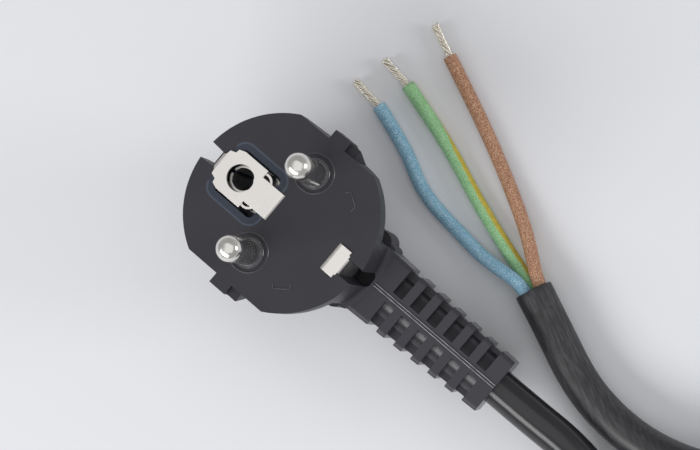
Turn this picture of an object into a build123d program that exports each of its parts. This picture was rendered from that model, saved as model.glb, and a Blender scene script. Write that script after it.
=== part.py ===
"""Mains lead: a moulded right-angle earthed plug, a round three-core cable and its stripped free end.

The plug lies on its flat back with its pins up, and the cable leaves it along +X.
Millimetres; +Y runs through the two pins, z = 0 is the plug's back and the surface it lies on.
"""

from build123d import *
from math import radians, tan
import os

# Plug disc
disc_radius = 18.5           # widest part of the face
face_height = 33.0           # flat back to engagement face
straight_wall = 6.6          # wall square to the face before it tapers
taper_radius = 17.1          # disc's radius where its back begins to round
taper_depth = 15.5           # face to that place
dome_radius = 10.5           # where the rounded back meets its flat
dome_height = 10.5           # that flat, above the plug's back
flat_offset = 16.2           # centre to each of the two guide flats
rib_reach = 18.25            # centre to the end of the rib on each flat
rib_width = 3.7              # rib's full-height part, along X
rib_start = -2.1             # its edge away from the cable
rib_step_width = 2.2         # lower part of the rib, on the cable's side
rib_step_drop = 1.6          # face to the top of that part
rib_step_reach = 18.1        # centre to its end

# Rear grip
grip_front = 16.9            # its end on the cable's side
grip_rear = -13.8            # its other end
grip_half_width = 9.6        # at its two ends
grip_waist = 7.6             # at the finger hollows
grip_height = 13.0           # back to the top of its wings
grip_corner = 2.2            # wing corners, in plan
grip_edge = 1.2              # rounding of its edges

# Neck and strain relief boot
cable_axis_height = 8.5
neck_start = 10.0            # inside the disc
neck_shoulder_end = 18.3     # end of the wider root
neck_shoulder_width = 15.4
neck_shoulder_height = 12.5  # top of the root above the back
neck_blend = 1.3             # hollow rounding between the disc's wall and the neck
neck_wall_draft = 0.2        # how far that wall leans in
boot_start = 18.0
boot_end = 49.5
boot_root_width = 14.1
boot_root_top = 15.5
boot_root_bottom = 1.2
boot_tip_width = 11.9
boot_tip_top = 14.6
boot_tip_bottom = 2.6
boot_corner = 1.0
slot_count = 6
slot_start = 23.2            # first slot's near side
slot_pitch = 4.15
slot_width = 2.3
spine_width = 2.25
core_sleeve_radius = 4.75    # moulding left round the cable between the ribs
wing_thickness = 2.4         # web left at mid height, out to the sides
wing_inset = 0.55            # how far the web stays inside the ribs' ends
parting_ridge_width = 0.35
parting_ridge_height = 0.2
parting_ridge_start = 19.6
parting_ridge_root = 0.5     # how deep it is rooted in the spine

# Pins
pin_spacing = 19.0
pin_radius = 2.4
pin_length = 19.0
pin_tip_height = 1.9         # rounded part of the tip
pin_tip_flat = 0.8           # radius of the tip's flat
pin_tip_round = 2.1          # radius of the rounding between them
pin_collar_radius = 2.67     # collar flush with the face
pin_collar_depth = 6.0
pin_flange_radius = 3.4
pin_flange_depth = 2.0
pin_tail_radius = 1.9        # crimp barrel behind the flange
crimp_height = 20.0          # open end of the barrels, above the plug's back
crimp_depth = 5.0            # how far a conductor goes in
pin_ring_radius = 3.7        # shallow ring in the face round each pin
pin_ring_depth = 0.25

# Earth socket, strap and channels
earth_offset = 10.0          # pins' line to the earth socket
strap_thickness = 0.7
strap_proud = 0.3            # strap's top over the face
strap_bend = 0.55            # centre line radius of its bends
strap_rear = 15.65           # centre to the strap's outer face, away from the cable
strap_front = 15.64          # the same on the cable's side
strap_side_depth = 15.0      # how far the side contacts reach below the face
strap_half_width = 4.35      # plate round the earth hole
strap_shoulder = 12.35       # where the toothed taper begins
strap_tooth_count = 2
strap_tooth_pitch = 1.2      # along X
strap_tooth_fall = 0.45      # first tooth's tip inside the plate's edge
strap_tooth_step = 1.15      # from tip to tip, across
strap_tooth_depth = 0.8
strap_tooth_lean = 0.15
strap_taper_end = 15.3
strap_window = 6.8           # where the plate narrows to its tail
tail_half_width = 2.84
tail_end = 1.19
bridge_half_width = 2.2      # hidden run under the face
bridge_depth = 3.4           # face to the middle of that run
tab_start = 11.8             # where the strap comes back up to the face
tab_lead = 0.8               # and how far before that it widens
tab_half_width = 2.95
tab_shoulder = 14.84
tab_step_half_width = 2.2
tab_step = 15.1
rear_strip_half_width = 1.5
front_strip_half_width = 1.6
earth_hole_radius = 2.62
earth_crimp_x = 6.5
earth_crimp_radius = 1.7
sleeve_radius = 2.15         # sprung bore that takes the socket's earth pin
sleeve_wall = 0.45
sleeve_top_depth = 2.6       # face to the sleeve's mouth
sleeve_length = 17.0
sleeve_slit = 0.7
leaf_radius = 1.8            # curved leaves seen in the strap's two windows
leaf_thickness = 0.45
sleeve_plate_rear = 12.6     # small plate that the tube and its leaves stand on
sleeve_plate_front = 4.2
sleeve_plate_corner = 1.5
leaf_x = 6.4
leaf_y = 2.1
channel_rim_width = 3.7
channel_root_width = 3.2
front_channel_width = 3.5
front_channel_end = 19.0
front_channel_floor = 12.6   # above the plug's back
front_channel_corner = 1.2

# Contact carrier
carrier_front = 2.1          # pins' line to its edge
carrier_rear = 14.6
carrier_half_width = 6.3
carrier_corner = 2.6
carrier_notch_half_width = 4.1
carrier_notch_length = 3.0
well_rear = 13.0
well_front = 3.7
well_half_width = 4.75
well_corner = 1.0
well_depth = 6.5
well_bevel = 1.2
bar_half_width = 4.4
bar_end = 4.0                # bar past each pin's middle
bar_corner = 2.0
sleeve_boss_radius = 4.2
sleeve_boss_bottom = 12.4

# Cutters reach this far past what they cut, and edges are told apart by this little
spare = 1.0
near = 0.01

# Cable and cores
cable_diameter = 7.4
core_diameter = 2.6
conductor_diameter = 1.4
jacket_end = 19.0            # where the jacket ends inside the plug
wire_bend_x = 13.6           # first bend of the wires inside the plug
wire_fan_x = 6.6             # where the two pins' wires spread
wire_fan_y = 5.9
wire_fan_height = 12.0
wire_corner_height = 14.6    # where they turn up to their crimps
earth_corner_height = 13.6
bare_length = 7.2            # stripped end of each core
core_recess = 4.0            # the cores come out of this depth at the free end
core_straight = 2.5          # and stay together this far past the cut
core_clearance = 0.05        # between the cores and the jacket's bore
core_gap = 0.12              # between two cores that lie side by side
coil_centre = (140.0, 2.3)
coil_turn_radius = 35.8      # middle of the turns
coil_columns = 3
coil_layers = 2
coil_edge = 3.5              # rounding of the coil's outer shape

cable_radius = cable_diameter / 2
core_radius = core_diameter / 2
core_side = (core_diameter + core_gap) / 2
floor_core = core_radius
core_lay_radius = (core_diameter + core_gap) / 3 ** 0.5
jacket_bore = core_lay_radius + core_radius + core_clearance

# Routes, point by point: the cable from the plug, the cable from the free end, and the three cores
plug_route = [
    (boot_end, 0, cable_axis_height),
    (58.0, 0, cable_axis_height),
    (66.5, 0.2, 7.3),
    (74.9, -1.0, 5.5),
    (83.0, -3.7, 4.4),
    (90.5, -7.9, 3.8),
    (97.1, -13.4, cable_radius),
    (102.4, -19.9, cable_radius),
]
free_route = [
    (42.4, 18.4, cable_radius),
    (51.0, 14.8, cable_radius),
    (60.5, 10.6, cable_radius),
    (69.3, 9.0, 3.9),
    (78.3, 9.4, 4.8),
    (87.0, 12.0, 6.4),
    (94.8, 16.5, 8.3),
    (101.4, 22.6, 10.0),
]
brown_route = [
    (35.4, 25.0, 1.8),
    (25.5, 31.0, floor_core),
    (12.6, 37.4, floor_core),
    (0.1, 42.7, floor_core),
]
green_yellow_route = [
    (32.5, 20.6, 3.2),
    (22.5, 24.7, floor_core),
    (10.0, 29.9, floor_core),
    (-2.6, 33.1, floor_core),
]
blue_route = [
    (32.8, 16.3, 1.7),
    (23.5, 17.9, floor_core),
    (13.5, 18.6, floor_core),
    (5.0, 23.5, floor_core),
    (-4.4, 26.3, floor_core),
]


def bend_radii(points):
    """Arc of each corner: 0.45 of its shorter run over the tangent of half its turn."""
    radii = []
    for before, corner, after in zip(points, points[1:], points[2:]):
        run_in = Vector(*corner) - Vector(*before)
        run_out = Vector(*after) - Vector(*corner)
        half_turn = radians(run_in.get_angle(run_out)) / 2
        radii.append(0.45 * min(run_in.length, run_out.length) / tan(half_turn))
    return radii


def onward(points, distance):
    """The same route with its last run made longer."""
    last = Vector(*points[-1])
    run = last - Vector(*points[-2])
    tip = last + run.normalized() * distance
    return points[:-1] + [tuple(tip)]


def rod(points, outer, bore=0.0, radii=None):
    """A round rod or tube along straight runs joined by tangent arcs."""
    with BuildPart() as piece:
        with BuildLine() as route:
            FilletPolyline(*points, radius=radii or bend_radii(points))
        with BuildSketch(Plane(origin=route.line @ 0, z_dir=route.line % 0)):
            Circle(outer / 2)
            if bore:
                Circle(bore / 2, mode=Mode.SUBTRACT)
        sweep()
    return piece.part


def boot_top(x):
    """Height of the boot's front along its slope."""
    share = (x - boot_start) / (boot_end - boot_start)
    return boot_root_top + share * (boot_tip_top - boot_root_top)


def boot_section(x, width, bottom, top):
    """Rounded rectangle across the boot."""
    with BuildSketch(Plane(origin=(x, 0, (bottom + top) / 2), x_dir=(0, 1, 0), z_dir=(1, 0, 0))) as section:
        RectangleRounded(width, top - bottom, boot_corner)
    return section.sketch


def report(name, points, diameter):
    """Print a route's bend radii in diameters."""
    sizes = [round(r / diameter, 1) for r in bend_radii(points)]
    print(f"{name}: bend radii in diameters {sizes}")


# Heights that follow from the sizes above
strap_middle = face_height + strap_proud - strap_thickness / 2
bridge_middle = face_height - bridge_depth
bar_top = bridge_middle - strap_thickness / 2
bar_length = pin_spacing + 2 * bar_end
carrier_bottom = crimp_height
sleeve_outer = sleeve_radius + sleeve_wall
sleeve_top = face_height - sleeve_top_depth
sleeve_bottom = sleeve_top - sleeve_length
well_floor = face_height - well_depth
well_middle = -(well_rear + well_front) / 2
pin_places = [(0, side * pin_spacing / 2) for side in (1, -1)]

# Pins
pins = {}
for name, side in (("line_pin", 1), ("neutral_pin", -1)):
    pin_y = side * pin_spacing / 2
    tip = face_height + pin_length
    flange_top = face_height - pin_collar_depth
    flange_bottom = flange_top - pin_flange_depth
    with BuildPart() as pin:
        with BuildSketch(Plane.XZ.offset(-pin_y)):
            with BuildLine():
                Polyline(
                    (0, crimp_height),
                    (pin_tail_radius, crimp_height),
                    (pin_tail_radius, flange_bottom),
                    (pin_flange_radius, flange_bottom),
                    (pin_flange_radius, flange_top),
                    (pin_collar_radius, flange_top),
                    (pin_collar_radius, face_height),
                    (pin_radius, face_height),
                    (pin_radius, tip - pin_tip_height),
                )
                RadiusArc((pin_radius, tip - pin_tip_height), (pin_tip_flat, tip), -pin_tip_round)
                Polyline((pin_tip_flat, tip), (0, tip), (0, crimp_height))
            make_face()
        revolve(axis=Axis((0, pin_y, 0), (0, 0, 1)))
        with BuildSketch(Plane.XY.offset(crimp_height)):
            with Locations((0, pin_y)):
                Circle(conductor_diameter / 2)
        extrude(amount=crimp_depth, mode=Mode.SUBTRACT)
    pin.part.label = name
    pins[name] = pin.part

# Earth strap: one stamped strip from side contact to side contact
teeth = []
for index in reversed(range(strap_tooth_count)):
    tooth_x = -strap_shoulder - (index + 1) * strap_tooth_pitch
    tooth_y = strap_half_width - strap_tooth_fall - index * strap_tooth_step
    teeth += [(tooth_x - strap_tooth_lean, tooth_y - strap_tooth_depth), (tooth_x, tooth_y)]
half_outline = [
    (-strap_rear - spare, rear_strip_half_width),
    (-strap_taper_end, rear_strip_half_width),
    *teeth,
    (-strap_shoulder, strap_half_width),
    (-strap_window, strap_half_width),
    (-strap_window, tail_half_width),
    (0.0, tail_half_width),
    (0.0, bridge_half_width),
    (tab_start - tab_lead, bridge_half_width),
    (tab_start - tab_lead, tab_half_width),
    (tab_shoulder, tab_half_width),
    (tab_shoulder, tab_step_half_width),
    (tab_step, tab_step_half_width),
    (tab_step, front_strip_half_width),
    (strap_front + spare, front_strip_half_width),
]
strap_bottom = face_height - strap_side_depth
half_strip = strap_thickness / 2
with BuildPart() as earth_strap:
    with BuildSketch(Plane.XZ):
        with BuildLine():
            FilletPolyline(
                (-strap_rear + half_strip, strap_bottom),
                (-strap_rear + half_strip, strap_middle),
                (-tail_end - half_strip, strap_middle),
                (-tail_end - half_strip, bridge_middle),
                (tab_start + half_strip, bridge_middle),
                (tab_start + half_strip, strap_middle),
                (strap_front - half_strip, strap_middle),
                (strap_front - half_strip, strap_bottom),
                radius=strap_bend,
            )
        trace(line_width=strap_thickness)
    extrude(amount=strap_half_width + spare, both=True)
    with BuildSketch(Plane.XY.offset(strap_bottom)):
        with BuildLine():
            Polyline(*half_outline, *[(x, -y) for x, y in reversed(half_outline)], close=True)
        make_face()
        with Locations((-earth_offset, 0)):
            Circle(earth_hole_radius, mode=Mode.SUBTRACT)
    extrude(amount=face_height, mode=Mode.INTERSECT)
    with BuildSketch(Plane.XY.offset(crimp_height)):
        with Locations((earth_crimp_x, 0)):
            Circle(earth_crimp_radius)
    extrude(amount=bar_top - crimp_height)
    with BuildSketch(Plane.XY.offset(crimp_height)):
        with Locations((earth_crimp_x, 0)):
            Circle(conductor_diameter / 2)
    extrude(amount=crimp_depth, mode=Mode.SUBTRACT)
earth_strap.part.label = "earth_strap"

# Earth sleeve: a rolled split tube on a small plate with two curved leaves
leaf_foot = well_floor
with BuildPart() as earth_sleeve:
    with BuildSketch(Plane.XY.offset(leaf_foot)):
        with Locations((-(sleeve_plate_rear + sleeve_plate_front) / 2, 0)):
            RectangleRounded(
                sleeve_plate_rear - sleeve_plate_front,
                2 * (leaf_y + leaf_radius),
                sleeve_plate_corner,
            )
    extrude(amount=leaf_thickness)
    with BuildSketch(Plane.XY.offset(leaf_foot)):
        with Locations((-leaf_x, leaf_y), (-leaf_x, -leaf_y)):
            Circle(leaf_radius)
            Circle(leaf_radius - leaf_thickness, mode=Mode.SUBTRACT)
        Rectangle(2 * leaf_x, 2 * leaf_y, mode=Mode.SUBTRACT)
    extrude(amount=strap_middle - half_strip - leaf_foot)
    with BuildSketch(Plane.XY.offset(sleeve_bottom)):
        with Locations((-earth_offset, 0)):
            Circle(sleeve_outer)
    extrude(amount=sleeve_length)
    with BuildSketch(Plane.XY.offset(sleeve_bottom)):
        with Locations((-earth_offset, 0)):
            Circle(sleeve_radius)
        with Locations((-earth_offset - sleeve_radius, 0)):
            Rectangle(2 * sleeve_radius, sleeve_slit)
    extrude(amount=sleeve_length, mode=Mode.SUBTRACT)
earth_sleeve.part.label = "earth_sleeve"

# Contact carrier: the inner moulding that holds the pins and the earth socket
with BuildPart() as contact_carrier:
    with BuildSketch(Plane.XY.offset(carrier_bottom)):
        with Locations((-(carrier_rear + carrier_front) / 2, 0)):
            RectangleRounded(carrier_rear - carrier_front, 2 * carrier_half_width, carrier_corner)
    extrude(amount=face_height - carrier_bottom)
    with BuildSketch(Plane.XY.offset(carrier_bottom)):
        RectangleRounded(2 * bar_half_width, bar_length, bar_corner)
    extrude(amount=bar_top - carrier_bottom)
    with BuildSketch(Plane.XY.offset(sleeve_boss_bottom)):
        with Locations((-earth_offset, 0)):
            Circle(sleeve_boss_radius)
    extrude(amount=carrier_bottom - sleeve_boss_bottom)
    with BuildSketch(Plane.XY.offset(well_floor)):
        with Locations((well_middle, 0)):
            RectangleRounded(well_rear - well_front, 2 * well_half_width, well_corner)
    extrude(amount=well_depth, mode=Mode.SUBTRACT)
    rim = contact_carrier.edges().group_by(Axis.Z)[-1]
    inner_rim = [e for e in rim if abs(e.center().Y) < well_half_width + near
                 and -well_rear - near < e.center().X < -well_front + near]
    chamfer(inner_rim, well_bevel)
    with BuildSketch(Plane.XY.offset(well_floor)):
        with Locations((-well_rear - carrier_notch_length / 2, 0)):
            Rectangle(carrier_notch_length, 2 * carrier_notch_half_width)
    extrude(amount=well_depth, mode=Mode.SUBTRACT)
    with BuildSketch(Plane.XY.offset(sleeve_bottom)):
        with Locations((-earth_offset, 0)):
            Circle(sleeve_outer)
    extrude(amount=sleeve_length + well_depth, mode=Mode.SUBTRACT)
    with BuildSketch(Plane.XY.offset(crimp_height)):
        with Locations(*pin_places):
            Circle(pin_tail_radius)
    extrude(amount=crimp_depth, mode=Mode.SUBTRACT)
    for pin_solid in pins.values():
        add(pin_solid, mode=Mode.SUBTRACT)
    add(earth_strap.part, mode=Mode.SUBTRACT)
contact_carrier.part.label = "contact_carrier"

# Wires inside the plug, from the jacket's end to their crimps
wire_places = {
    "brown": (core_side, -core_lay_radius / 2),
    "blue": (-core_side, -core_lay_radius / 2),
    "green_yellow": (0, core_lay_radius),
}
wire_ends = {
    "brown": (0, pin_spacing / 2),
    "blue": (0, -pin_spacing / 2),
    "green_yellow": (earth_crimp_x, 0),
}
wires = {}
for colour, (lay_y, lay_z) in wire_places.items():
    end_x, end_y = wire_ends[colour]
    side = (end_y > 0) - (end_y < 0)
    start = (jacket_end, lay_y, cable_axis_height + lay_z)
    first_bend = (wire_bend_x, lay_y, cable_axis_height + lay_z)
    if side:
        middle = [first_bend, (wire_fan_x, side * wire_fan_y, wire_fan_height)]
        corner_height = wire_corner_height
    else:
        middle = [first_bend]
        corner_height = earth_corner_height
    points = [start, *middle, (end_x, end_y, corner_height), (end_x, end_y, crimp_height)]
    radii = bend_radii(points)
    insulation = rod(points, core_diameter, conductor_diameter, radii)
    conductor = rod(onward(points, crimp_depth), conductor_diameter, radii=radii)
    insulation.label = f"{colour}_core_in_plug"
    conductor.label = f"{colour}_conductor_in_plug"
    wires[colour] = (insulation, conductor)

# Jacket inside the plug
with BuildPart() as cable_in_plug:
    with BuildSketch(Plane(origin=(jacket_end, 0, cable_axis_height), z_dir=(1, 0, 0))):
        Circle(cable_radius)
    extrude(amount=boot_end - jacket_end)
cable_in_plug.part.label = "cable_in_plug"

# Slots of the strain relief: what is cut away between its ribs
slot_length = slot_count * slot_pitch
slot_middle = slot_start + slot_length / 2
with BuildPart() as boot_slots:
    with BuildSketch(Plane.XY):
        for index in range(slot_count):
            for side in (1, -1):
                with Locations((slot_start + slot_width / 2 + index * slot_pitch,
                                side * (spine_width / 2 + boot_root_width / 2))):
                    Rectangle(slot_width, boot_root_width)
    extrude(amount=boot_root_top + spare)
    with Locations((slot_middle, 0, cable_axis_height)):
        Cylinder(core_sleeve_radius, slot_length + 2 * spare, rotation=(0, 90, 0), mode=Mode.SUBTRACT)
    with BuildSketch(Plane.XY.offset(cable_axis_height - wing_thickness / 2)):
        with BuildLine():
            Polyline(
                (boot_start, boot_root_width / 2 - wing_inset),
                (boot_end, boot_tip_width / 2 - wing_inset),
                (boot_end, -boot_tip_width / 2 + wing_inset),
                (boot_start, -boot_root_width / 2 + wing_inset),
                close=True,
            )
        make_face()
    extrude(amount=wing_thickness, mode=Mode.SUBTRACT)

# Wall that runs down square from the disc to the neck and turns out into it
neck_wall_radius = disc_radius - neck_wall_draft
neck_wall_foot = boot_root_top + neck_blend
with BuildPart() as neck_web:
    with BuildSketch(Plane.XZ):
        with BuildLine():
            Polyline(
                (neck_wall_radius + neck_blend, boot_root_top),
                (neck_wall_radius + neck_blend, neck_shoulder_height),
                (neck_start, neck_shoulder_height),
                (neck_start, face_height - straight_wall),
                (disc_radius, face_height - straight_wall),
                (neck_wall_radius, neck_wall_foot),
            )
            RadiusArc(
                (neck_wall_radius, neck_wall_foot),
                (neck_wall_radius + neck_blend, boot_root_top),
                -neck_blend,
            )
        make_face()
    revolve(axis=Axis.Z)
    with BuildSketch(Plane.XY):
        with Locations((boot_start, 0)):
            Rectangle(2 * (boot_start - neck_start), boot_root_width)
    extrude(amount=face_height, mode=Mode.INTERSECT)

# Overmoulded plug body with its neck and boot
boot_root = boot_section(boot_start, boot_root_width, boot_root_bottom, boot_root_top)
boot_tip = boot_section(boot_end, boot_tip_width, boot_tip_bottom, boot_tip_top)
with BuildPart() as plug_body:
    with BuildSketch(Plane.XZ):
        with BuildLine():
            Polyline(
                (0, dome_height),
                (0, face_height),
                (disc_radius, face_height),
                (disc_radius, face_height - straight_wall),
                (taper_radius, face_height - taper_depth),
            )
            TangentArc(
                (taper_radius, face_height - taper_depth),
                (dome_radius, dome_height),
                tangent=(taper_radius - disc_radius, straight_wall - taper_depth),
            )
            Line((dome_radius, dome_height), (0, dome_height))
        make_face()
    revolve(axis=Axis.Z)
    with BuildSketch(Plane.XY):
        Circle(disc_radius)
        Rectangle(2 * disc_radius, 2 * flat_offset, mode=Mode.INTERSECT)
        with Locations((rib_start + rib_width / 2, 0)):
            Rectangle(rib_width, 2 * rib_reach)
    extrude(amount=face_height, mode=Mode.INTERSECT)
    with BuildSketch(Plane.XY.offset(face_height - taper_depth)):
        with Locations((rib_start + rib_width + rib_step_width / 2, 0)):
            Rectangle(rib_step_width, 2 * rib_step_reach)
    extrude(amount=taper_depth - rib_step_drop)
    with BuildSketch(Plane.XY):
        with BuildLine():
            ThreePointArc(
                (grip_rear, grip_half_width),
                ((grip_rear + grip_front) / 2, grip_waist),
                (grip_front, grip_half_width),
            )
            Line((grip_front, grip_half_width), (grip_front, -grip_half_width))
            ThreePointArc(
                (grip_front, -grip_half_width),
                ((grip_rear + grip_front) / 2, -grip_waist),
                (grip_rear, -grip_half_width),
            )
            Line((grip_rear, -grip_half_width), (grip_rear, grip_half_width))
        make_face()
        fillet(vertices(), grip_corner)
    extrude(amount=grip_height)
    fillet(edges().group_by(Axis.Z)[0], grip_edge)
    with BuildSketch(Plane.XY.offset(boot_root_bottom)):
        with Locations(((neck_start + neck_shoulder_end) / 2, 0)):
            RectangleRounded(neck_shoulder_end - neck_start, neck_shoulder_width, grip_edge)
    extrude(amount=neck_shoulder_height - boot_root_bottom)
    extrude(boot_root, amount=neck_start - boot_start)
    loft([boot_root, boot_tip], ruled=True)
    add(boot_slots.part, mode=Mode.SUBTRACT)
    with BuildSketch(Plane.XZ):
        with BuildLine():
            ridge_start_top = boot_top(parting_ridge_start)
            Polyline(
                (parting_ridge_start, ridge_start_top - parting_ridge_root),
                (parting_ridge_start, ridge_start_top + parting_ridge_height),
                (boot_end, boot_tip_top + parting_ridge_height),
                (boot_end, boot_tip_top - parting_ridge_root),
                close=True,
            )
        make_face()
    extrude(amount=parting_ridge_width / 2, both=True)
    add(neck_web.part)
    with BuildSketch(Plane.XY.offset(face_height - pin_ring_depth)):
        with Locations(*pin_places):
            Circle(pin_ring_radius)
    extrude(amount=pin_ring_depth, mode=Mode.SUBTRACT)
    with BuildSketch(Plane.XY):
        with BuildLine():
            Polyline(
                (-disc_radius - spare, channel_rim_width / 2),
                (-strap_rear, channel_root_width / 2),
                (-strap_rear, -channel_root_width / 2),
                (-disc_radius - spare, -channel_rim_width / 2),
                close=True,
            )
        make_face()
    extrude(amount=face_height, mode=Mode.SUBTRACT)
    with BuildSketch(Plane.XY.offset(front_channel_floor)):
        with BuildLine():
            Polyline(
                (strap_front, front_channel_width / 2),
                (front_channel_end, front_channel_width / 2),
                (front_channel_end, -front_channel_width / 2),
                (strap_front, -front_channel_width / 2),
                close=True,
            )
        make_face()
        fillet(vertices().sort_by(Axis.X)[-2:], front_channel_corner)
    extrude(amount=face_height, mode=Mode.SUBTRACT)
    with BuildSketch(Plane.XY.offset(well_floor)):
        with Locations((well_middle, 0)):
            RectangleRounded(well_rear - well_front, 2 * well_half_width, well_corner)
    extrude(amount=well_depth, mode=Mode.SUBTRACT)
    with BuildSketch(Plane.XY.offset(sleeve_bottom)):
        with Locations((-earth_offset, 0)):
            Circle(sleeve_outer)
    extrude(amount=face_height, mode=Mode.SUBTRACT)
    add(contact_carrier.part, mode=Mode.SUBTRACT)
    add(earth_strap.part, mode=Mode.SUBTRACT)
    for pin_solid in pins.values():
        add(pin_solid, mode=Mode.SUBTRACT)
    for insulation, conductor in wires.values():
        add(insulation, mode=Mode.SUBTRACT)
        add(conductor, mode=Mode.SUBTRACT)
    add(cable_in_plug.part, mode=Mode.SUBTRACT)
plug_body.part.label = "plug_body"

# Put-away length of the cable: one ring of the coil's outer shape
coil_half_width = coil_columns * cable_diameter / 2
with BuildPart() as cable_coil:
    with BuildSketch(Plane.XZ.offset(-coil_centre[1])):
        with Locations((coil_centre[0] + coil_turn_radius, coil_layers * cable_radius)):
            RectangleRounded(2 * coil_half_width, coil_layers * cable_diameter, coil_edge)
    revolve(axis=Axis((coil_centre[0], coil_centre[1], 0), (0, 0, 1)))
cable_coil.part.label = "cable_coil"

# Cable from the plug to the coil, and from the coil to the cut free end
report("plug_route", plug_route, cable_diameter)
with BuildPart() as cable_plug_end:
    add(rod(plug_route, cable_diameter))
    add(cable_coil.part, mode=Mode.SUBTRACT)
cable_plug_end.part.label = "cable_plug_end"

report("free_route", free_route, cable_diameter)
cut_end = Vector(*free_route[0])
inward = (Vector(*free_route[1]) - cut_end).normalized()
with BuildPart() as cable_free_end:
    add(rod(free_route, cable_diameter))
    with BuildSketch(Plane(origin=cut_end, z_dir=inward)):
        Circle(jacket_bore)
    extrude(amount=core_recess, mode=Mode.SUBTRACT)
    add(cable_coil.part, mode=Mode.SUBTRACT)
cable_free_end.part.label = "cable_free_end"

# Cores of the free end, each with its bare conductor
across = inward.cross(Vector(0, 0, 1)) * -1
core_starts = {
    "brown": across * core_side - Vector(0, 0, core_lay_radius / 2),
    "blue": across * -core_side - Vector(0, 0, core_lay_radius / 2),
    "green_yellow": Vector(0, 0, core_lay_radius),
}
core_routes = {"brown": brown_route, "green_yellow": green_yellow_route, "blue": blue_route}
free_cores = []
for colour, route_points in core_routes.items():
    start = cut_end + inward * core_recess + core_starts[colour]
    mouth = cut_end - inward * core_straight + core_starts[colour]
    points = [tuple(start), tuple(mouth), *route_points]
    report(colour, points, core_diameter)
    radii = bend_radii(points)
    core = rod(points, core_diameter, conductor_diameter, radii)
    core.label = f"{colour}_core"
    bare = rod(onward(points, bare_length), conductor_diameter, radii=radii)
    bare.label = f"{colour}_conductor"
    free_cores += [core, bare]

os.makedirs("parts", exist_ok=True)
pieces = [
    plug_body.part,
    contact_carrier.part,
    *pins.values(),
    earth_strap.part,
    earth_sleeve.part,
    cable_in_plug.part,
    *[wire for pair in wires.values() for wire in pair],
    cable_plug_end.part,
    cable_coil.part,
    cable_free_end.part,
    *free_cores,
]
for piece in pieces:
    export_step(piece, f"parts/{piece.label}.step")
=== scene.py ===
"""Looks of a mains lead: moulded right-angle earthed plug, round cable and stripped free end.

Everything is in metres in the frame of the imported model: the plug lies on its back at z = 0,
its pins point up and its cable leaves along +X.
"""

import math

import bmesh
import bpy
import numpy as np
from mathutils import Matrix, Vector


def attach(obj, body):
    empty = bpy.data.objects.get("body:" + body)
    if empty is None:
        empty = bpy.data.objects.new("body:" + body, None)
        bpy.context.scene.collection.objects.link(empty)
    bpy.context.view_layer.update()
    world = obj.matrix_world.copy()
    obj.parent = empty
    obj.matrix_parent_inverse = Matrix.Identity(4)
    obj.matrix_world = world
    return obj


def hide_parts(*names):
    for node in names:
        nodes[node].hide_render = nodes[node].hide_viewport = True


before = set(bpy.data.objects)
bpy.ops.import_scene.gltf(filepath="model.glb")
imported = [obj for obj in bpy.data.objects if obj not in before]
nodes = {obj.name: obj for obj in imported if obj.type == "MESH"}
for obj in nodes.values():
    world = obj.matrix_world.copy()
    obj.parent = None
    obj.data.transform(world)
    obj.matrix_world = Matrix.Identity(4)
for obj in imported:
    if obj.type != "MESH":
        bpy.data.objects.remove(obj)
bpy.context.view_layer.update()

MM = 0.001
ROOT = "root"

# Sizes that the route and the finishes share with the model, in millimetres
CABLE_DIAMETER = 7.4
CORE_DIAMETER = 2.6
BOOT_END = 49.5
CABLE_AXIS = 8.5
COIL_CENTRE = (140.0, 2.3)
COIL_COLUMNS = (43.2, 35.8, 28.4)   # outer, middle and inner turn
COIL_LAYERS = (3.7, 11.1)
COIL_ENTRY = 219.2                  # degrees, where the cable meets its outer turn
COIL_SWEEP = 2085.0                 # degrees wound, five and three quarter turns
COLUMN_CHANGES = ((310, 0, 1), (670, 1, 2), (1366, 2, 1), (1726, 1, 0))   # degrees wound, old, new
LAYER_CHANGE = 1019                 # degrees wound where the cable climbs to the upper layer
CHANGE_SWEEP = 52                   # degrees that such a change takes
TURN_STEP = 15.0                    # degrees between control points
BARE_LENGTH = 7.2                   # stripped end of each core
FACE = 33.0
CARRIER_ENDS = (-14.6, -2.1)        # outline of the inner carrier on the face: its ends in X
CARRIER_HALF_WIDTH = 6.3
CARRIER_CORNER = 2.6
CARRIER_RIM = 0.35
BOOT_START = 18.0                   # from here, over 2 mm, the body takes the boot's finish
SLOT_FLOOR = 13.6                   # height of the boot's slots

# The cable's route from the boot, point by point
PLUG_ROUTE = [
    (BOOT_END, 0.0, CABLE_AXIS),
    (58.0, 0.0, CABLE_AXIS),
    (66.5, 0.2, 7.3),
    (74.9, -1.0, 5.5),
    (83.0, -3.7, 4.4),
    (90.5, -7.9, 3.8),
    (97.1, -13.4, 3.7),
    (102.4, -19.9, 3.7),
]

# And its route to the cut end, from that end
FREE_ROUTE = [
    (42.4, 18.4, 3.7),
    (51.0, 14.8, 3.7),
    (60.5, 10.6, 3.7),
    (69.3, 9.0, 3.9),
    (78.3, 9.4, 4.8),
    (87.0, 12.0, 6.4),
    (94.8, 16.5, 8.3),
    (101.4, 22.6, 10.0),
]
CORE_STRAIGHT = 1.2                 # the cores stay together this far past the cut
CORE_RECESS = 4.0                   # and start this deep inside the sheath
CORE_GAP = 0.12
CORE_ROUTES = {
    "brown": [(35.6, 25.2, 2.6), (25.5, 31.0, 1.4), (12.6, 37.4, 1.4), (0.1, 42.7, 1.4)],
    "green_yellow": [(32.5, 21.3, 1.5), (22.5, 24.6, 1.4), (10.0, 29.7, 1.4), (-2.6, 33.1, 1.4)],
    "blue": [(36.4, 17.4, 3.9), (31.0, 16.8, 2.2), (23.5, 17.6, 1.4), (13.5, 18.7, 1.4),
             (5.0, 23.5, 1.4), (-4.4, 26.3, 1.4)],
}
CORE_SWELL = 1.05                   # the insulation has bulged a little where it was bent open
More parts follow.
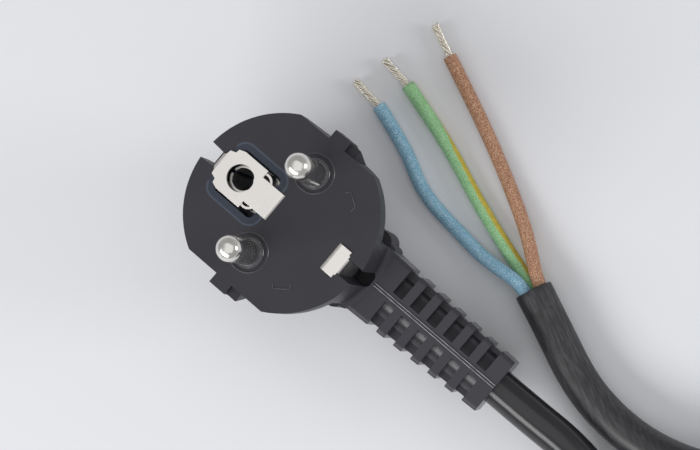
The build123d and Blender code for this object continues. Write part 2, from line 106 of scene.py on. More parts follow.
STRAND_HEADINGS = {
    "brown": (-6.6, 3.0, 0.1),
    "green_yellow": (-7.0, 0.9, 0.15),
    "blue": (-7.8, 0.9, 0.1),
}
STRAND_SEEDS = {"brown": 3, "green_yellow": 4, "blue": 5}
CUT_DEPTH = 1.6                     # hollow of the cut sheath, round the cores
LIP_PROUD = 0.05                    # the cut lip stands this far outside the sheath
PINS = ((0.0, 9.5), (0.0, -9.5))
MOULD_MARKS = (
    ((7.1, -10.8), (7.9, -11.5), (10.4, -9.6), (9.7, -8.6)),
    ((6.8, 10.5), (7.4, 11.3), (9.85, 9.75), (9.8, 8.5)),
)
MARK_WIDTH = 0.34
MARK_HEIGHT = 0.14
FLASH_WIDTH = 0.17
FLASH_HEIGHT = 0.19
FLASH_OFFSET = 0.27                 # each line of flash to the boot's middle
BOOT_TOP = ((19.6, 15.43), (49.4, 14.6))   # the boot's spine: x and height at its two ends

# Camera at the photograph's viewing angle: right, up and back axes, then place
CAMERA_RIGHT = (0.75113, 0.64249, -0.15169)
CAMERA_UP = (-0.64301, 0.76408, 0.05225)
CAMERA_BACK = (0.14947, 0.05829, 0.98705)
CAMERA_PLACE = (72.8, 30.59, 439.45)
CAMERA_LENS = 115.7

camera_data = bpy.data.cameras.new("camera")
camera_data.lens = CAMERA_LENS
camera_data.sensor_width = 36.0
camera_data.clip_start = 0.01
camera_data.clip_end = 10.0
camera = bpy.data.objects.new("camera", camera_data)
bpy.context.scene.collection.objects.link(camera)
axes = Matrix((CAMERA_RIGHT, CAMERA_UP, CAMERA_BACK)).transposed().to_4x4()
camera.matrix_world = Matrix.Translation([c * MM for c in CAMERA_PLACE]) @ axes
bpy.context.scene.camera = camera


# Helpers

def pattern_scale(size):
    """Scale of a noise whose lumps are about this many millimetres across."""
    return 1 / (size * MM)


def linear(code):
    """sRGB hex colour as linear red, green, blue and alpha."""
    channels = np.array([int(code[i:i + 2], 16) for i in (1, 3, 5)]) / 255
    low, high = channels / 12.92, ((channels + 0.055) / 1.055) ** 2.4
    return (*np.where(channels <= 0.04045, low, high).tolist(), 1.0)


def add(tree, kind, settings=None, inputs=None):
    """A node with its settings; an input is a value, or a socket to link from."""
    node = tree.nodes.new(kind)
    for key, value in (settings or {}).items():
        setattr(node, key, value)
    for key, value in (inputs or {}).items():
        if isinstance(value, bpy.types.NodeSocket):
            tree.links.new(value, node.inputs[key])
        else:
            node.inputs[key].default_value = value
    return node


def new_material(name):
    """Empty node material: its tree, its shader and its Object coordinates."""
    material = bpy.data.materials.new(name)
    material.use_nodes = True
    tree = material.node_tree
    tree.nodes.clear()
    shader = add(tree, "ShaderNodeBsdfPrincipled")
    add(tree, "ShaderNodeOutputMaterial", inputs={"Surface": shader.outputs[0]})
    place = add(tree, "ShaderNodeTexCoord").outputs["Object"]
    return material, tree, shader, place


def link_object(name, data):
    """A new object for this mesh or curve, at the origin."""
    piece = bpy.data.objects.new(name, data)
    bpy.context.scene.collection.objects.link(piece)
    return piece


def mesh_piece(name, points, faces, material, smooth=True):
    """A piece from points in millimetres, an (n, 3) array, and its faces."""
    mesh = bpy.data.meshes.new(name)
    mesh.from_pydata((np.asarray(points, float) * MM).tolist(), [], [list(map(int, f)) for f in faces])
    work = bmesh.new()
    work.from_mesh(mesh)
    bmesh.ops.recalc_face_normals(work, faces=work.faces)
    work.to_mesh(mesh)
    work.free()
    mesh.polygons.foreach_set("use_smooth", [smooth] * len(mesh.polygons))
    mesh.materials.append(material)
    return link_object(name, mesh)


def grid_faces(rows, columns, start=0):
    """Quads between rings of points: each joins a point, its neighbour, and both of the next ring."""
    first = np.arange(rows - 1)[:, None] * columns
    c = np.arange(columns)[None, :]
    d = (c + 1) % columns
    quads = np.stack([first + c, first + d, first + columns + d, first + columns + c], -1)
    return (quads.reshape(-1, 4) + start).tolist()


def end_caps(rows, columns, start=0):
    """The two faces that close such a tube, over its first and its last ring."""
    last = start + (rows - 1) * columns
    return [list(range(start, start + columns))[::-1], list(range(last, last + columns))]


def round_solid(profile, centre, across_axis, up_axis, along_axis, columns=64, lift=None):
    """A profile of (radius, distance) turned round an axis.

    A point is centre + radius (cos turn across + sin turn up) + distance along. If lift is given, it adds a
    wander of the distance to every point that isn't at the axis.
    """
    turn = 2 * math.pi * np.arange(columns) / columns
    radius, distance = np.array(profile, float).T
    distance = distance[:, None] + (0.0 if lift is None else lift(turn)[None, :] * (radius > 0.1)[:, None])
    points = (np.asarray(centre, float)
              + radius[:, None, None] * (np.cos(turn)[None, :, None] * across_axis
                                         + np.sin(turn)[None, :, None] * up_axis)
              + distance[..., None] * along_axis)
    return points.reshape(-1, 3)


def hoop_faces(rows, columns):
    """Quads of a profile that closes on itself, turned a whole turn: the last ring joins the first."""
    return (np.array(grid_faces(rows + 1, columns)) % (rows * columns)).tolist()


def bar(start, end, width, height):
    """A low raised bar from one point to another, its section narrower at the top."""
    start, end = np.array(start, float), np.array(end, float)
    run = (end - start) / np.linalg.norm(end - start)
    side = np.cross(run, (0.0, 0.0, 1.0))
    side /= np.linalg.norm(side)
    rise = np.array((0.0, 0.0, 1.0))
    foot, top, sunk = 0.5, 0.28, -0.3   # half widths and buried foot, as shares of width and height
    section = [(-foot, sunk), (foot, sunk), (top, 1.0), (-top, 1.0)]
    points = [place + side * width * u + rise * height * v for place in (start, end) for u, v in section]
    faces = [(0, 1, 2, 3), (4, 5, 6, 7)] + [(k, (k + 1) % 4, (k + 1) % 4 + 4, k + 4) for k in range(4)]
    return points, faces


def route_curve(name, points, diameter, material, swell=None):
    """A smooth round cord: one open spline with these control points, in millimetres."""
    data = bpy.data.curves.new(name, "CURVE")
    data.dimensions = "3D"
    data.bevel_depth = diameter / 2 * MM
    data.bevel_resolution = 10
    data.resolution_u = 6
    data.use_fill_caps = True
    spline = data.splines.new("NURBS")
    spline.points.add(len(points) - 1)
    for index, (point, place) in enumerate(zip(spline.points, points)):
        point.co = (*[c * MM for c in place], 1.0)
        point.radius = swell[index] if swell else 1.0
    spline.order_u = 3
    spline.use_endpoint_u = True
    data.materials.append(material)
    return link_object(name, data)


def curve_line(points):
    """Points along the smooth line of such a route, in millimetres."""
    data = bpy.data.curves.new("line", "CURVE")
    data.dimensions = "3D"
    data.resolution_u = 24
    spline = data.splines.new("NURBS")
    spline.points.add(len(points) - 1)
    for point, place in zip(spline.points, points):
        point.co = (*[c * MM for c in place], 1.0)
    spline.order_u = 3
    spline.use_endpoint_u = True
    piece = bpy.data.objects.new("line", data)
    bpy.context.scene.collection.objects.link(piece)
    graph = bpy.context.evaluated_depsgraph_get()
    mesh = bpy.data.meshes.new_from_object(piece.evaluated_get(graph))
    line = np.zeros(len(mesh.vertices) * 3)
    mesh.vertices.foreach_get("co", line)
    bpy.data.objects.remove(piece)
    bpy.data.curves.remove(data)
    bpy.data.meshes.remove(mesh)
    return line.reshape(-1, 3) / MM


def smooth_step(value, low, high):
    """0 below low, 1 above high, and an even S between them."""
    t = np.clip((value - low) / (high - low), 0.0, 1.0)
    return t * t * (3 - 2 * t)


# Materials

def moulded_flash(name, dull, bright):
    """The same compound on fine raised lines, such as where the mould's halves met, painted paler: a painted
    highlight for the glints along such lines.
    """
    material, tree, shader, place = new_material(name)
    glint_noise = add(tree, "ShaderNodeTexNoise",
               inputs={"Vector": place, "Scale": pattern_scale(1.4286), "Detail": 3.0})
    # Painted highlight: the noise mixes the dark compound towards a pale grey, for the glints on raised
    # lines.
    shade = add(tree, "ShaderNodeMix", {"data_type": "RGBA"},
                {0: glint_noise.outputs[0], 6: linear(dull), 7: linear(bright)})
    tree.links.new(shade.outputs[2], shader.inputs["Base Color"])
    shader.inputs["Roughness"].default_value = 0.22
    return material


def carrier_band(tree, place, height):
    """1 on the face inside the carrier's outline, which is a rectangle with round corners, and 0 elsewhere.

    A point is inside where the part of its offset past the rectangle's straight half lengths is shorter than
    the corner's radius. The edge runs under the middle of the carrier's own rim.
    """
    low, high = CARRIER_ENDS
    middle = ((low + high) / 2 * MM, 0.0, 0.0)
    straight = (((high - low) / 2 - CARRIER_CORNER) * MM, (CARRIER_HALF_WIDTH - CARRIER_CORNER) * MM, 1.0)
    edge, blur = CARRIER_CORNER - CARRIER_RIM / 2, 0.015
    step = add(tree, "ShaderNodeVectorMath", {"operation": "SUBTRACT"}, {0: place, 1: middle})
    step = add(tree, "ShaderNodeVectorMath", {"operation": "ABSOLUTE"}, {0: step.outputs[0]})
    step = add(tree, "ShaderNodeVectorMath", {"operation": "SUBTRACT"}, {0: step.outputs[0], 1: straight})
    step = add(tree, "ShaderNodeVectorMath", {"operation": "MAXIMUM"},
               {0: step.outputs[0], 1: (0.0, 0.0, 0.0)})
    reach = add(tree, "ShaderNodeVectorMath", {"operation": "LENGTH"}, {0: step.outputs[0]})
    inside = add(tree, "ShaderNodeMapRange",
                 inputs={0: reach.outputs[1], 1: (edge - blur) * MM, 2: (edge + blur) * MM, 3: 1.0, 4: 0.0})
    top = add(tree, "ShaderNodeMapRange",
              inputs={0: height, 1: (FACE - 1.0) * MM, 2: (FACE - 0.5) * MM, 3: 0.0, 4: 1.0})
    return add(tree, "ShaderNodeMath", {"operation": "MULTIPLY"}, {0: inside.outputs[0], 1: top.outputs[0]})


def moulded_body():
    """Soft PVC compound, injection moulded: satin charcoal with a violet cast and a spark-eroded grain.

    The grain is drawn coarser than real: lumps of 0.31 mm, where a mould's own are nearer 0.1 mm. The boot is
    paler, its slots are glossy, and the band round the earth socket has the carrier's colour.
    """
    material, tree, shader, place = new_material("moulded_pvc_charcoal")
    cloud = add(tree, "ShaderNodeTexNoise",
                inputs={"Vector": place, "Scale": pattern_scale(9.09), "Detail": 3.0})
    shade = add(tree, "ShaderNodeMix", {"data_type": "RGBA"},
                {0: cloud.outputs[0], 6: linear("#29282e"), 7: linear("#302f36")})
    grain = add(tree, "ShaderNodeTexNoise",
                inputs={"Vector": place, "Scale": pattern_scale(0.3125), "Detail": 2.0})
    parts = add(tree, "ShaderNodeSeparateXYZ", inputs={0: place})
    boot = add(tree, "ShaderNodeMapRange",
               inputs={0: parts.outputs[0], 1: BOOT_START * MM, 2: (BOOT_START + 2.0) * MM, 3: 0.0, 4: 1.0})
    deep = add(tree, "ShaderNodeMapRange",
               inputs={0: parts.outputs[2], 1: (SLOT_FLOOR + 0.3) * MM, 2: SLOT_FLOOR * MM, 3: 0.0, 4: 1.0})
    slot = add(tree, "ShaderNodeMath", {"operation": "MULTIPLY"}, {0: boot.outputs[0], 1: deep.outputs[0]})
    # From BOOT_START on, the colour is mixed towards a paler grey.
    paler_boot = add(tree, "ShaderNodeMix", {"data_type": "RGBA"},
                  {0: boot.outputs[0], 6: shade.outputs[2], 7: linear("#35343b")})
    band = carrier_band(tree, place, parts.outputs[2])
    banded = add(tree, "ShaderNodeMix", {"data_type": "RGBA"},
                 {0: band.outputs[0], 6: paler_boot.outputs[2], 7: linear("#2a313e")})
    satin = add(tree, "ShaderNodeMapRange", inputs={0: grain.outputs[0], 1: 0.3, 2: 0.7, 3: 0.42, 4: 0.56})
    rough = add(tree, "ShaderNodeMapRange", inputs={0: slot.outputs[0], 3: satin.outputs[0], 4: 0.24})
    bump = add(tree, "ShaderNodeBump",
               inputs={"Height": grain.outputs[0], "Strength": 0.22, "Distance": 0.06 * MM})
    tree.links.new(banded.outputs[2], shader.inputs["Base Color"])
    tree.links.new(rough.outputs[0], shader.inputs["Roughness"])
    tree.links.new(bump.outputs[0], shader.inputs["Normal"])
    shader.inputs["IOR"].default_value = 1.52
    shader.inputs["Specular IOR Level"].default_value = 0.36
    return material


def carrier_plastic():
    """Glass-filled polyamide insert, moulded: smooth slate blue-grey."""
    material, tree, shader, place = new_material("moulded_polyamide_slate")
    cloud = add(tree, "ShaderNodeTexNoise",
                inputs={"Vector": place, "Scale": pattern_scale(1.667), "Detail": 4.0})
    shade = add(tree, "ShaderNodeMix", {"data_type": "RGBA"},
                {0: cloud.outputs[0], 6: linear("#313947"), 7: linear("#404959")})
    bump = add(tree, "ShaderNodeBump",
               inputs={"Height": cloud.outputs[0], "Strength": 0.15, "Distance": 0.08 * MM})
    tree.links.new(shade.outputs[2], shader.inputs["Base Color"])
    tree.links.new(bump.outputs[0], shader.inputs["Normal"])
    shader.inputs["Roughness"].default_value = 0.4
    return material


def nickel(name, colour, scuffed, rough_low, rough_high, cloud_size):
    """Nickel plate on brass: warm white metal, tumbled to a satin that is cloudy where it was handled.

    Its tumbled dimples are drawn coarser than real, 0.38 mm across.
    """
    material, tree, shader, place = new_material(name)
    cloud = add(tree, "ShaderNodeTexNoise",
                inputs={"Vector": place, "Scale": pattern_scale(cloud_size), "Detail": 5.0})
    fine = add(tree, "ShaderNodeTexNoise",
               inputs={"Vector": place, "Scale": pattern_scale(0.3846), "Detail": 2.0})
    shade = add(tree, "ShaderNodeMix", {"data_type": "RGBA"},
                {0: cloud.outputs[0], 6: linear(colour), 7: linear(scuffed)})
    rough = add(tree, "ShaderNodeMapRange",
                inputs={0: cloud.outputs[0], 1: 0.3, 2: 0.7, 3: rough_low, 4: rough_high})
    bump = add(tree, "ShaderNodeBump",
               inputs={"Height": fine.outputs[0], "Strength": 0.12, "Distance": 0.05 * MM})
    tree.links.new(shade.outputs[2], shader.inputs["Base Color"])
    tree.links.new(rough.outputs[0], shader.inputs["Roughness"])
    tree.links.new(bump.outputs[0], shader.inputs["Normal"])
    shader.inputs["Metallic"].default_value = 1.0
    return material


def extruded_sheath():
    """Extruded PVC sheath: glossy near-black, and dull with talc where it was stripped and handled.

    Only the free end's stretch is dull: past the plug's stretch in Y, and up to a few centimetres from the
    cut in X. Its scuffs are 3.2 mm long and 0.4 mm wide, and run along the cut end.
    """
    material, tree, shader, place = new_material("extruded_pvc_black")
    clean_y, dull_y = 3.5 * MM, 6.5 * MM
    dull_x, clean_x = 66.0 * MM, 90.0 * MM
    scuff = (3.2 * MM, 0.4 * MM, 0.6 * MM)
    heading = (0.0, 0.0, math.radians(-23.0))
    parts = add(tree, "ShaderNodeSeparateXYZ", inputs={0: place})
    past = add(tree, "ShaderNodeMapRange",
               inputs={0: parts.outputs[1], 1: clean_y, 2: dull_y, 3: 0.0, 4: 1.0})
    near = add(tree, "ShaderNodeMapRange",
               inputs={0: parts.outputs[0], 1: dull_x, 2: clean_x, 3: 1.0, 4: 0.0})
    worn = add(tree, "ShaderNodeMath", {"operation": "MULTIPLY"}, {0: past.outputs[0], 1: near.outputs[0]})
    turned = add(tree, "ShaderNodeMapping", {"vector_type": "TEXTURE"},
                 {0: place, "Rotation": heading, "Scale": scuff})
    streak = add(tree, "ShaderNodeTexNoise",
                 inputs={"Vector": turned.outputs[0], "Scale": 1.0, "Detail": 4.0})
    dust = add(tree, "ShaderNodeMapRange", inputs={0: streak.outputs[0], 1: 0.44, 2: 0.72, 3: 0.0, 4: 0.42})
    dusty = add(tree, "ShaderNodeMath", {"operation": "MULTIPLY"}, {0: worn.outputs[0], 1: dust.outputs[0]})
    clean = add(tree, "ShaderNodeMix", {"data_type": "RGBA"},
                {0: worn.outputs[0], 6: linear("#232326"), 7: linear("#272729")})
    shade = add(tree, "ShaderNodeMix", {"data_type": "RGBA"},
                {0: dusty.outputs[0], 6: clean.outputs[2], 7: linear("#605f66")})
    rough = add(tree, "ShaderNodeMapRange", inputs={0: worn.outputs[0], 1: 0.0, 2: 1.0, 3: 0.21, 4: 0.52})
    grain = add(tree, "ShaderNodeTexNoise",
                inputs={"Vector": place, "Scale": pattern_scale(0.7143), "Detail": 3.0})
    bump = add(tree, "ShaderNodeBump",
               inputs={"Height": grain.outputs[0], "Strength": 0.08, "Distance": 0.1 * MM})
    tree.links.new(shade.outputs[2], shader.inputs["Base Color"])
    tree.links.new(rough.outputs[0], shader.inputs["Roughness"])
    tree.links.new(bump.outputs[0], shader.inputs["Normal"])
    shader.inputs["IOR"].default_value = 1.5
    return material


def core_insulation(name, deep, pale, chalk, amount):
    """Extruded PVC insulation, pulled from its sheath: matt, with a chalky bloom of talc in small specks.

    The specks, 0.22 mm, are clumps of talc; they are drawn coarser than its own grains.
    """
    material, tree, shader, place = new_material(name)
    cloud = add(tree, "ShaderNodeTexNoise",
                inputs={"Vector": place, "Scale": pattern_scale(3.125), "Detail": 3.0})
    speck = add(tree, "ShaderNodeTexNoise",
                inputs={"Vector": place, "Scale": pattern_scale(0.2174), "Detail": 3.0})
    base = add(tree, "ShaderNodeMix", {"data_type": "RGBA"},
               {0: cloud.outputs[0], 6: linear(deep), 7: linear(pale)})
    powder = add(tree, "ShaderNodeMapRange",
                 inputs={0: speck.outputs[0], 1: 0.45, 2: 0.62, 3: 0.0, 4: amount})
    shade = add(tree, "ShaderNodeMix", {"data_type": "RGBA"},
                {0: powder.outputs[0], 6: base.outputs[2], 7: linear(chalk)})
    bump = add(tree, "ShaderNodeBump",
               inputs={"Height": speck.outputs[0], "Strength": 0.3, "Distance": 0.1 * MM})
    tree.links.new(shade.outputs[2], shader.inputs["Base Color"])
    tree.links.new(bump.outputs[0], shader.inputs["Normal"])
    shader.inputs["Roughness"].default_value = 0.62
    return material, tree, shader, place, shade


def striped_insulation():
    """The earth core's two-colour extrusion: green, with a yellow band that the attribute "band" lays out."""
    material, tree, shader, place, green = core_insulation(
        "extruded_pvc_green_yellow", "#6aa869", "#97cd94", "#c5e5bf", 0.6)
    band = add(tree, "ShaderNodeAttribute", {"attribute_name": "band"})
    ragged = add(tree, "ShaderNodeTexNoise",
                 inputs={"Vector": place, "Scale": pattern_scale(1.111), "Detail": 3.0})
    edge = add(tree, "ShaderNodeMath", {"operation": "MULTIPLY_ADD"},
               {0: ragged.outputs[0], 1: 0.3, 2: band.outputs["Fac"]})
    yellow = add(tree, "ShaderNodeMapRange", inputs={0: edge.outputs[0], 1: 0.78, 2: 0.92, 3: 0.0, 4: 1.0})
    tint = add(tree, "ShaderNodeMix", {"data_type": "RGBA"},
               {0: ragged.outputs[0], 6: linear("#a3922a"), 7: linear("#d8c754")})
    shade = add(tree, "ShaderNodeMix", {"data_type": "RGBA"},
                {0: yellow.outputs[0], 6: green.outputs[2], 7: tint.outputs[2]})
    tree.links.new(shade.outputs[2], shader.inputs["Base Color"])
    return material


def tinned_strands():
    """Tinned copper wires, bunched and twisted: bright, warm where the copper shows between."""
    material, tree, shader, place = new_material("tinned_copper_strands")
    cloud = add(tree, "ShaderNodeTexNoise",
                inputs={"Vector": place, "Scale": pattern_scale(0.6667), "Detail": 3.0})
    shade = add(tree, "ShaderNodeMix", {"data_type": "RGBA"},
                {0: cloud.outputs[0], 6: linear("#d3c8b4"), 7: linear("#faf7f0")})
    tree.links.new(shade.outputs[2], shader.inputs["Base Color"])
    shader.inputs["Metallic"].default_value = 0.65
    shader.inputs["Roughness"].default_value = 0.27
    return material


BODY = moulded_body()
# Painted highlight: the flash finish is near white to stand in for the glints along the boot's spine.
FLASH = moulded_flash("moulded_pvc_flash_painted_glint", "#3a393e", "#d2d1d6")
# Painted highlight: the face marks' finish is paler than the body, to stand in for their glints.
MARK_GLINT_PAINT = moulded_flash("moulded_pvc_marks_painted_glint", "#2a2a2f", "#4e4e55")
CARRIER = carrier_plastic()
PIN_METAL = nickel("nickel_plated_pins", "#cfccc7", "#efede8", 0.16, 0.3, 2.381)
STRAP_METAL = nickel("nickel_plated_strap", "#e2dedb", "#efece8", 0.3, 0.38, 1.4286)
SHEATH = extruded_sheath()
BROWN = core_insulation("extruded_pvc_brown", "#7d4a35", "#ad7858", "#e4c2a2", 0.66)[0]
BLUE = core_insulation("extruded_pvc_blue", "#4b88a8", "#8abad2", "#c9e2ee", 0.6)[0]
GREEN_YELLOW = striped_insulation()
STRANDS = tinned_strands()
CORE_MATERIALS = {"brown": BROWN, "green_yellow": GREEN_YELLOW, "blue": BLUE}


# The cable: from the boot, through the coil, to its cut end

def coil_points():
    """Control points of the coil: turns side by side inwards, up one layer, and outwards again."""
    low, high = COIL_LAYERS
    ring = 1 / math.cos(math.radians(TURN_STEP / 2))   # control points lie outside the curve that they draw
    points = []
    for turned in np.arange(TURN_STEP / 2, COIL_SWEEP, TURN_STEP):
        radius = COIL_COLUMNS[0]
        for starts, old, new in COLUMN_CHANGES:
            moved = smooth_step(turned, starts, starts + CHANGE_SWEEP)
            radius += (COIL_COLUMNS[new] - COIL_COLUMNS[old]) * moved
        height = low + (high - low) * smooth_step(turned, LAYER_CHANGE, LAYER_CHANGE + CHANGE_SWEEP)
        angle = math.radians(COIL_ENTRY + turned)
        points.append((COIL_CENTRE[0] + radius * ring * math.cos(angle),
                       COIL_CENTRE[1] + radius * ring * math.sin(angle), height))
    return points


cut_end = np.array(FREE_ROUTE[0])
inward = np.array(FREE_ROUTE[1]) - cut_end
inward /= np.linalg.norm(inward)
across = -np.cross(inward, (0.0, 0.0, 1.0))
up = np.array((0.0, 0.0, 1.0))


def ragged_cut(turn):
    """How far the knife's cut wanders along the cable, round the sheath: three sines of different pace."""
    return 0.07 * np.sin(3 * turn + 1.0) + 0.05 * np.sin(7 * turn) + 0.03 * np.sin(13 * turn + 2.0)


def cut_lip():
    """The cut end of the sheath: a wall with a rounded, slightly ragged lip round a shallow hollow."""
    outer = CABLE_DIAMETER / 2 + LIP_PROUD
    inner, buried = 3.02, 4.6
    profile = [(0.01, buried), (outer - 0.15, buried), (outer - 0.06, 4.2), (outer - 0.03, 2.4), (outer, 1.2),
               (outer, 0.25), (outer - 0.1, 0.04), (outer - 0.3, -0.02), (3.15, 0.03), (3.06, 0.15),
               (inner, CUT_DEPTH + 0.3), (0.01, CUT_DEPTH + 0.3)]
    rows, columns = len(profile), 72
    centre = cut_end + (0.0, 0.0, LIP_PROUD)
    points = round_solid(profile, centre, across, up, inward, columns, ragged_cut)
    faces = grid_faces(rows, columns) + end_caps(rows, columns)
    return mesh_piece("sheath-cut", points, faces, SHEATH)


lip = cut_lip()
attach(lip, ROOT)
cable_points = PLUG_ROUTE + coil_points() + FREE_ROUTE[:0:-1] + [tuple(cut_end + inward * CUT_DEPTH)]
cable = route_curve("cable", cable_points, CABLE_DIAMETER, SHEATH)
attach(cable, ROOT)
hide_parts("cable_plug_end", "cable_coil", "cable_free_end")


# The three cores of the free end, each with its bunch of strands

core_side = (CORE_DIAMETER + CORE_GAP) / 2
core_lay = (CORE_DIAMETER + CORE_GAP) / math.sqrt(3)
core_starts = {
    "brown": across * core_side + up * core_lay / 2,
    "green_yellow": -up * core_lay,
    "blue": -across * core_side + up * core_lay / 2,
}


def strand_bunch(name, base, direction, seed):
    """Nine wires laid in a helix round a plain core, cut a little unevenly and opening at the tip.

    A wire's middle is base + along direction + spread (cos angle side + sin angle above), and its angle grows
    by a whole turn in each lay length. A ring of points round each station makes its wall.
    """
    wires, stations, sides = 9, 29, 8
    wire_radius, lay_radius, lay_length = 0.2, 0.54, 7.0
    core_radius, core_stations, buried = 0.42, 4, 1.0
    random = np.random.default_rng(seed)
    side = np.cross(direction, up)
    side /= np.linalg.norm(side)
    above = np.cross(side, direction)
    t = np.linspace(0.0, 1.0, stations)[None, :]
    start = 2 * math.pi * np.arange(wires)[:, None] / wires + random.normal(0, 0.06, (wires, 1))
    length = BARE_LENGTH + buried - random.uniform(0.0, 0.45, (wires, 1))
    along = t * length - buried
    wander = random.normal(0, 0.05, (wires, stations)).cumsum(1) * 0.3
    angle = start + 2 * math.pi * along / lay_length + wander
    spread = lay_radius * (1 + 0.22 * t ** 3 * random.uniform(0.2, 1.0, (wires, 1)))
    centre = (base + along[..., None] * direction
              + (spread * np.cos(angle))[..., None] * side + (spread * np.sin(angle))[..., None] * above)
    around = 2 * math.pi * np.arange(sides) / sides
    ring = np.cos(around)[:, None] * above + np.sin(around)[:, None] * side
    tubes = centre[:, :, None, :] + wire_radius * ring[None, None, :, :]
    core = np.linspace(-buried, BARE_LENGTH - 0.4, core_stations)[:, None, None] * direction + base
    core = core + core_radius * ring[None, :, :]
    points, faces = [], []
    for tube in (*tubes, core):
        rows = len(tube)
        faces += grid_faces(rows, sides, len(points)) + end_caps(rows, sides, len(points))
        points += tube.reshape(-1, 3).tolist()
    return mesh_piece(name, points, faces, STRANDS)


def banded_core(name, line, radius, material):
    """A tube along the line's points, each ring line + radius (cos turn above + sin turn side).

    Its attribute "band" is the cosine of the angle from the yellow band's middle. The band lies on the core's
    +Y side, wavers a little, and turns under the core towards the tip.
    """
    columns = 28
    middle_degrees, waver_degrees, under_degrees = 70.0, 5.0, 75.0
    run = np.gradient(line, axis=0)
    run /= np.linalg.norm(run, axis=1)[:, None]
    side = np.cross(run, up)
    side /= np.linalg.norm(side, axis=1)[:, None]
    above = np.cross(side, run)
    turn = 2 * math.pi * np.arange(columns) / columns
    ring = np.cos(turn)[None, :, None] * above[:, None, :] + np.sin(turn)[None, :, None] * side[:, None, :]
    points = (line[:, None, :] + radius * ring).reshape(-1, 3)
    rows = len(line)
    piece = mesh_piece(name, points, grid_faces(rows, columns) + end_caps(rows, columns), material)
    share = np.linspace(0.0, 1.0, rows)
    middle = np.radians(middle_degrees + waver_degrees * np.sin(9.0 * share)
                        + under_degrees * smooth_step(share, 0.8, 0.95))
    band = np.cos(turn[None, :] - middle[:, None])
    layer = piece.data.attributes.new("band", "FLOAT", "POINT")
    layer.data.foreach_set("value", band.ravel().astype(np.float32))
    return piece


for colour, route in CORE_ROUTES.items():
    start = cut_end + inward * CORE_RECESS + core_starts[colour]
    mouth = cut_end - inward * CORE_STRAIGHT + core_starts[colour]
    points = [tuple(start), tuple(mouth), *route]
    line = curve_line(points)
    if colour == "green_yellow":
        core = banded_core(f"{colour}_insulation", line, CORE_DIAMETER / 2 * CORE_SWELL, GREEN_YELLOW)
    else:
        swell = [1.0, 1.0] + [CORE_SWELL] * len(route)
        core = route_curve(f"{colour}_insulation", points, CORE_DIAMETER, CORE_MATERIALS[colour], swell)
    heading = np.array(STRAND_HEADINGS[colour])
    heading /= np.linalg.norm(heading)
    strands = strand_bunch(f"{colour}_strands", np.array(route[-1]), heading, STRAND_SEEDS[colour])
    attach(core, ROOT)
    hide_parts(f"{colour}_core")
    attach(strands, ROOT)
    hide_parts(f"{colour}_conductor")


# Rigid parts of the plug: the model's own shapes, most with their edges rounded

def lean_rib_steps(mesh):
    """The end of each rib's lower step leans in as the disc tapers: its foot moves to the foot's reach."""
    foot_reach, step_reach = 16.35, 17.2
    step_near, step_far = 1.5, 3.9
    low, high = 17.0, 18.0
    places = np.zeros(len(mesh.vertices) * 3)
    mesh.vertices.foreach_get("co", places)
    places = places.reshape(-1, 3)
    x, y, z = places.T / MM
    foot = (x > step_near) & (x < step_far) & (np.abs(y) > step_reach) & (z > low) & (z < high)
    places[foot, 1] = np.sign(y[foot]) * foot_reach * MM
    mesh.vertices.foreach_set("co", places.ravel())
    mesh.update()


def eased_copy(node, material, width, angle=28.0):
    """A copy of a node whose loose triangles are joined and, where a width is given, whose edges are softly
    rounded.
    """
    mesh = nodes[node].data.copy()
    work = bmesh.new()
    work.from_mesh(mesh)
    bmesh.ops.remove_doubles(work, verts=work.verts, dist=0.000002)
    bmesh.ops.dissolve_limit(work, angle_limit=math.radians(0.6), verts=work.verts, edges=work.edges)
    work.to_mesh(mesh)
    work.free()
    if node == "plug_body":
        lean_rib_steps(mesh)
    mesh.polygons.foreach_set("use_smooth", [True] * len(mesh.polygons))
    mesh.set_sharp_from_angle(angle=math.radians(angle))
    mesh.materials.clear()
    mesh.materials.append(material)
    piece = link_object(node.replace("_", "-"), mesh)
    if width:
        bevel = piece.modifiers.new("edge", "BEVEL")
        bevel.width = width * MM
        bevel.segments = 2
        bevel.limit_method = "ANGLE"
        bevel.angle_limit = math.radians(angle)
        bevel.use_clamp_overlap = True
        flats = piece.modifiers.new("flats", "WEIGHTED_NORMAL")
        flats.keep_sharp = True
        flats.weight = 90
    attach(piece, ROOT)
    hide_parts(node)


eased_copy("plug_body", BODY, 0.12)
eased_copy("contact_carrier", CARRIER, 0.12)
eased_copy("line_pin", PIN_METAL, 0.0)
eased_copy("neutral_pin", PIN_METAL, 0.0)
eased_copy("earth_strap", STRAP_METAL, 0.05)
eased_copy("earth_sleeve", STRAP_METAL, 0.05)


def joined(shapes):
    """Points and faces of several shapes as one list each."""
    points, faces = [], []
    for shape_points, shape_faces in shapes:
        faces += [[index + len(points) for index in face] for face in shape_faces]
        points += [tuple(place) for place in shape_points]
    return points, faces


def face_marks():
    """Raised details of the face: a lip and a bead round each pin, and two cornered mould marks."""
    x_axis, y_axis = np.array((1.0, 0.0, 0.0)), np.array((0.0, 1.0, 0.0))
    lip_profile = [(2.42, -0.1), (2.42, 0.08), (2.55, 0.14), (2.82, 0.12), (2.98, 0.0), (2.98, -0.1)]
    bead_profile = [(3.58, -0.2), (3.62, 0.02), (3.7, 0.08), (3.8, 0.08), (3.88, 0.02), (3.92, -0.1)]
    shapes = []
    for pin_x, pin_y in PINS:
        for profile in (lip_profile, bead_profile):
            shapes.append((round_solid(profile, (pin_x, pin_y, FACE), x_axis, y_axis, up),
                           hoop_faces(len(profile), 64)))
    for mark in MOULD_MARKS:
        for start, end in zip(mark, mark[1:]):
            shapes.append(bar((*start, FACE), (*end, FACE), MARK_WIDTH, MARK_HEIGHT))
    points, faces = joined(shapes)
    # The marks' finish is paler than the body: painted highlight for their glints.
    return mesh_piece("face-marks", points, faces, MARK_GLINT_PAINT, smooth=False)


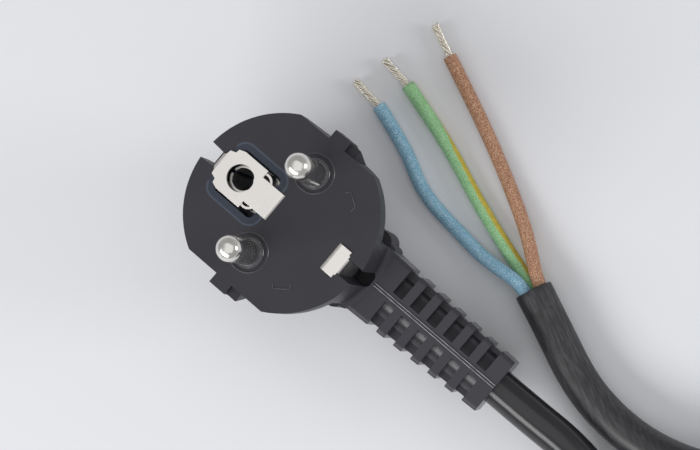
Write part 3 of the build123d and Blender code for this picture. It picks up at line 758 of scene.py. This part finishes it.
def parting_lines():
    """Two fine beads of flash along the boot's spine, where the halves of its mould met."""
    (near_x, near_top), (far_x, far_top) = BOOT_TOP
    proud = 0.03
    shapes = [bar((near_x, y, near_top + proud), (far_x, y, far_top + proud), FLASH_WIDTH, FLASH_HEIGHT)
              for y in (FLASH_OFFSET, -FLASH_OFFSET)]
    points, faces = joined(shapes)
    # The beads' finish is near white: painted highlight for their glints.
    return mesh_piece("parting-lines", points, faces, FLASH, smooth=False)


for detail in (face_marks(), parting_lines()):
    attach(detail, ROOT)


# The pieces inside the plug keep the model's shapes, and get their finishes

inside_finishes = {"cable_in_plug": SHEATH}
for colour, material in CORE_MATERIALS.items():
    inside_finishes[f"{colour}_core_in_plug"] = material
    inside_finishes[f"{colour}_conductor_in_plug"] = STRANDS
for node, material in inside_finishes.items():
    nodes[node].data.materials.clear()
    nodes[node].data.materials.append(material)


# Floor and light

def studio():
    """A plain pale floor, a soft overhead lamp, a long key at the -Y side and a small fill at +X, +Y."""
    material, _, shader, _ = new_material("pale_floor")
    shader.inputs["Base Color"].default_value = linear("#dfe0e4")
    shader.inputs["Roughness"].default_value = 0.9
    floor = link_object("floor", bpy.data.meshes.new("floor"))
    size = 3.0
    floor.data.from_pydata([(-size, -size, 0), (size, -size, 0), (size, size, 0), (-size, size, 0)], [],
                           [(0, 1, 2, 3)])
    floor.data.materials.append(material)
    aim = (0.03, 0.0, 0.01)
    lamps = [
        ("overhead", (0.12, 0.05, 0.95), (1.0, 1.0), 1.8),
        ("key", (0.02, -0.85, 0.60), (1.2, 0.42), 9.0),
        ("fill", (0.8, 0.7, 0.45), (0.4, 0.4), 3.0),
    ]
    for name, place, (width, height), power in lamps:
        data = bpy.data.lights.new(name, "AREA")
        data.shape = "RECTANGLE"
        data.size, data.size_y = width, height
        data.energy = power
        lamp = bpy.data.objects.new(name, data)
        bpy.context.scene.collection.objects.link(lamp)
        lamp.location = place
        toward = np.array(aim) - np.array(place)
        lamp.rotation_mode = "QUATERNION"
        lamp.rotation_quaternion = Vector(toward).to_track_quat("-Z", "Y")
    world = bpy.data.worlds.new("studio")
    bpy.context.scene.world = world
    world.use_nodes = True
    sky = world.node_tree.nodes["Background"]
    sky.inputs["Color"].default_value = (1.0, 1.0, 1.0, 1.0)
    sky.inputs["Strength"].default_value = 0.42


studio()
bpy.context.scene.view_settings.view_transform = "Standard"

bpy.context.view_layer.update()
